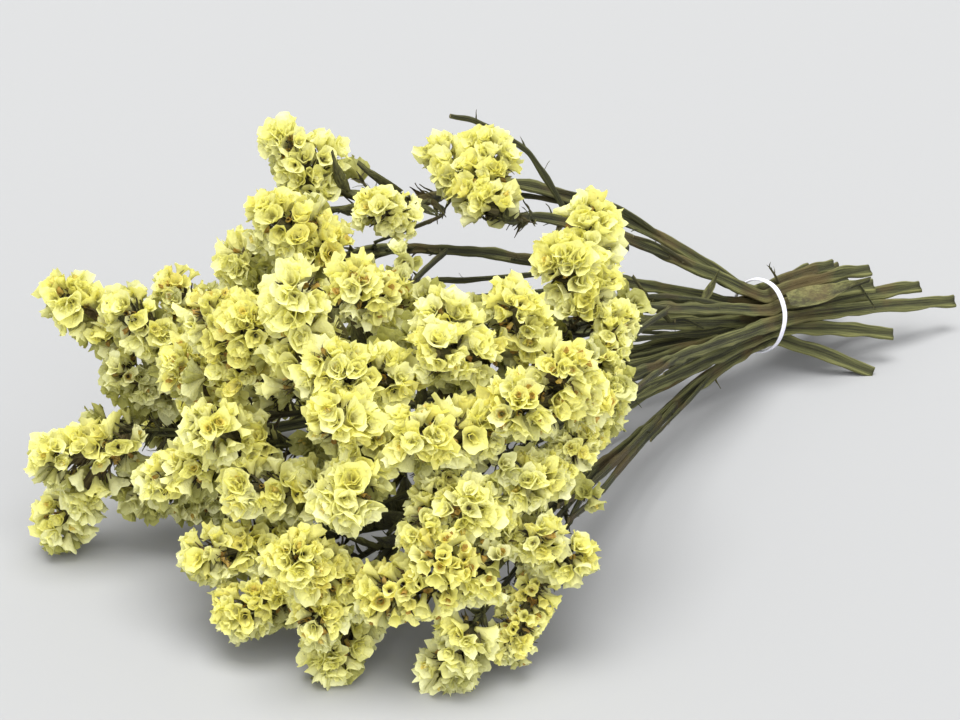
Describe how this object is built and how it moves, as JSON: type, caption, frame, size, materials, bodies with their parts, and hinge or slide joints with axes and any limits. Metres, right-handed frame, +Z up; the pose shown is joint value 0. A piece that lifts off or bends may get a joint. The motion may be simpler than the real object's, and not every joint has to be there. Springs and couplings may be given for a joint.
{
  "type": "dried statice bunch",
  "caption": "Tied bunch of dried statice lying on its side, with a dome of pale lemon papery funnel florets on winged grey-green stems.",
  "frame": {"origin": "middle of the bunch's box, on the surface that it lies on", "axes": "+X along the bunch toward the cut ends of the stems, the heads at -X; +Z up; +Y away from the side that faces the viewer"},
  "size_m": [0.551, 0.2864, 0.1891],
  "materials": {
    "dried_stem": "matt dry stalk, grey-green with brown patches",
    "papery_floret": "matt papery calyx, pale lemon",
    "elastic_band": "matt white elastic"
  },
  "bodies": {
    "root": {"band": "elastic_band", "head_back_foot": "papery_floret", "head_back_low": "papery_floret", "head_back_mid": "papery_floret", "head_back_top": "papery_floret", "head_behind": "papery_floret", "head_big": "papery_floret", "head_big_centre": "papery_floret", "head_breast": "papery_floret", "head_brown": "papery_floret", "head_bud": "papery_floret", "head_bud_low": "papery_floret", "head_centre": "papery_floret", "head_crest": "papery_floret", "head_crown": "papery_floret", "head_drooping": "papery_floret", "head_far_left": "papery_floret", "head_foot": "papery_floret", "head_front_big": "papery_floret", "head_front_right": "papery_floret", "head_front_up": "papery_floret", "head_left_front": "papery_floret", "head_left_under": "papery_floret", "head_left_wing": "papery_floret", "head_loose": "papery_floret", "head_low_fan": "papery_floret", "head_low_far": "papery_floret", "head_low_left": "papery_floret", "head_low_mid": "papery_floret", "head_mid_left": "papery_floret", "head_pale": "papery_floret", "head_right_edge": "papery_floret", "head_right_low": "papery_floret", "head_right_mid": "papery_floret", "head_right_small": "papery_floret", "head_shaded": "papery_floret", "head_shoulder": "papery_floret", "head_small_top": "papery_floret", "head_tall": "papery_floret", "head_twin": "papery_floret", "head_underside": "papery_floret", "head_upper_mid": "papery_floret", "stem_back": "dried_stem", "stem_big": "dried_stem", "stem_centre": "dried_stem", "stem_crest": "dried_stem", "stem_crown": "dried_stem", "stem_drooping": "dried_stem", "stem_far_left": "dried_stem", "stem_front": "dried_stem", "stem_left_front": "dried_stem", "stem_loose": "dried_stem", "stem_low": "dried_stem", "stem_shoulder": "dried_stem", "stem_tall": "dried_stem", "stem_twin": "dried_stem"}
  },
  "joints": []
}
